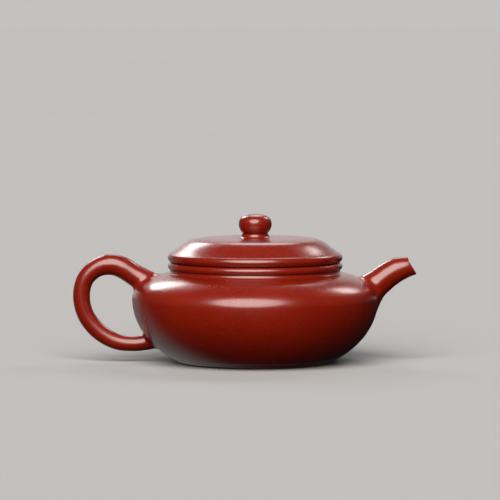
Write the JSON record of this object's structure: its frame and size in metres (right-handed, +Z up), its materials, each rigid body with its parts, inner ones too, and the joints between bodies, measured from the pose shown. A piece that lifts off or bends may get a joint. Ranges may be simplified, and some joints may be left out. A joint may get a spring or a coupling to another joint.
{
  "type": "clay teapot",
  "caption": "Flat drum-bodied unglazed clay teapot with a short curved spout, ear handle, double-line lift-off lid and bead knob",
  "frame": {"origin": "centre of the foot ring on the surface that the teapot stands on", "axes": "+Z up along the axis of the body and lid; +X towards the spout, so the handle is at -X"},
  "size_m": [0.1502, 0.1074, 0.0649],
  "materials": {
    "pot_clay": "burnished and polished by use, satin gloss",
    "inner_clay": "fired matt"
  },
  "bodies": {
    "pot": {"foot_ring": "pot_clay", "base_disc": "pot_clay", "body_wall": "pot_clay", "shoulder_disc": "pot_clay", "neck_ring": "pot_clay", "mouth_line": "pot_clay", "ball_strainer": "inner_clay", "spout": "pot_clay", "handle": "pot_clay"},
    "lid": {"lid_disc": "pot_clay", "lid_line": "pot_clay", "lid_flange": "inner_clay", "knob_collar": "pot_clay", "knob_bead": "pot_clay"}
  },
  "joints": [
    {"name": "lid_lift", "type": "slide", "parent": "pot", "child": "lid", "axis": [0, 0, 1], "range_m": [0, 0.06]}
  ]
}
